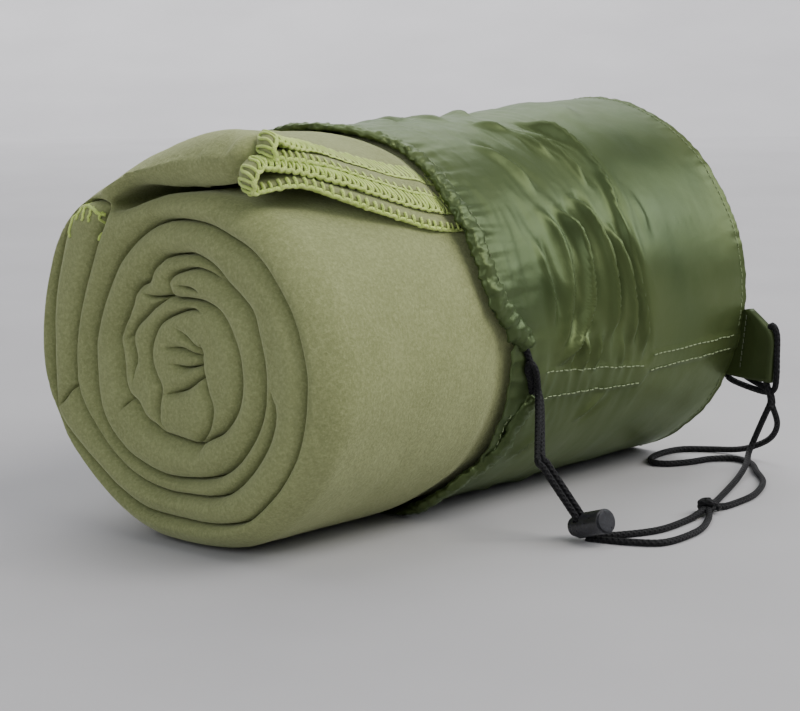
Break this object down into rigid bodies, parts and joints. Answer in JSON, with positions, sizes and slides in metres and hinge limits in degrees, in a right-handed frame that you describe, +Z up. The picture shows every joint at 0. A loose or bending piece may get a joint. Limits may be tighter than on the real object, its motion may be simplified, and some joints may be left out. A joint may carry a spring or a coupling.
{
  "type": "rolled camp blanket in a stuff sack",
  "caption": "Fleece camp blanket folded and rolled up, half inside a satin drawcord stuff sack with a cord lock and an end tab.",
  "frame": {"origin": "on the floor, in the middle of the face the roll rests on, under the middle of the roll's length", "axes": "+X along the roll from its open end to the sack's closed end, -Y towards the cord and the side seam, +Z up"},
  "size_m": [0.3193, 0.2477, 0.1788],
  "materials": {
    "fleece": "brushed fleece with a short nap",
    "yarn": "soft twisted yarn",
    "nylon": "satin woven nylon, wrinkled",
    "thread": "sewing thread",
    "cord": "braided cord",
    "lock_plastic": "moulded, slightly worn",
    "spring_steel": "drawn wire"
  },
  "bodies": {
    "blanket": {"fleece_blanket": "fleece", "hem_yarn": "yarn"},
    "bag": {"bag_side_panel": "nylon", "bag_end_panel": "nylon", "mouth_casing": "nylon", "casing_thread": "thread", "side_seam_tape": "nylon", "side_seam_thread": "thread", "end_seam_thread": "thread", "pull_tab": "nylon", "tab_thread": "thread", "drawcord": "cord", "tab_hitch": "cord"},
    "carry_cord": {"cord_loop": "cord"},
    "cord_lock": {"lock_barrel": "lock_plastic", "lock_spring": "spring_steel"},
    "plunger": {"lock_plunger": "lock_plastic"}
  },
  "joints": [
    {"name": "bag_slide", "type": "slide", "parent": "blanket", "child": "bag", "axis": [1, 0, 0], "range_m": [0, 0.2]},
    {"name": "cord_swing", "type": "hinge", "parent": "bag", "child": "carry_cord", "pos_m": [-0.0155, -0.09058, 0.07967], "axis": [-0.9595, 0.0822, 0.2694], "range_deg": [0, 130]},
    {"name": "lock_slide", "type": "slide", "parent": "carry_cord", "child": "cord_lock", "axis": [-0.4261, 0.3481, 0.835], "range_m": [0, 0.028]},
    {"name": "plunger_press", "type": "slide", "parent": "cord_lock", "child": "plunger", "axis": [-0.1602, -0.9375, 0.309], "range_m": [0, 0.003], "stiffness_N_per_m": 900, "springref_m": -0.003, "deforming": ["lock_spring"]}
  ]
}
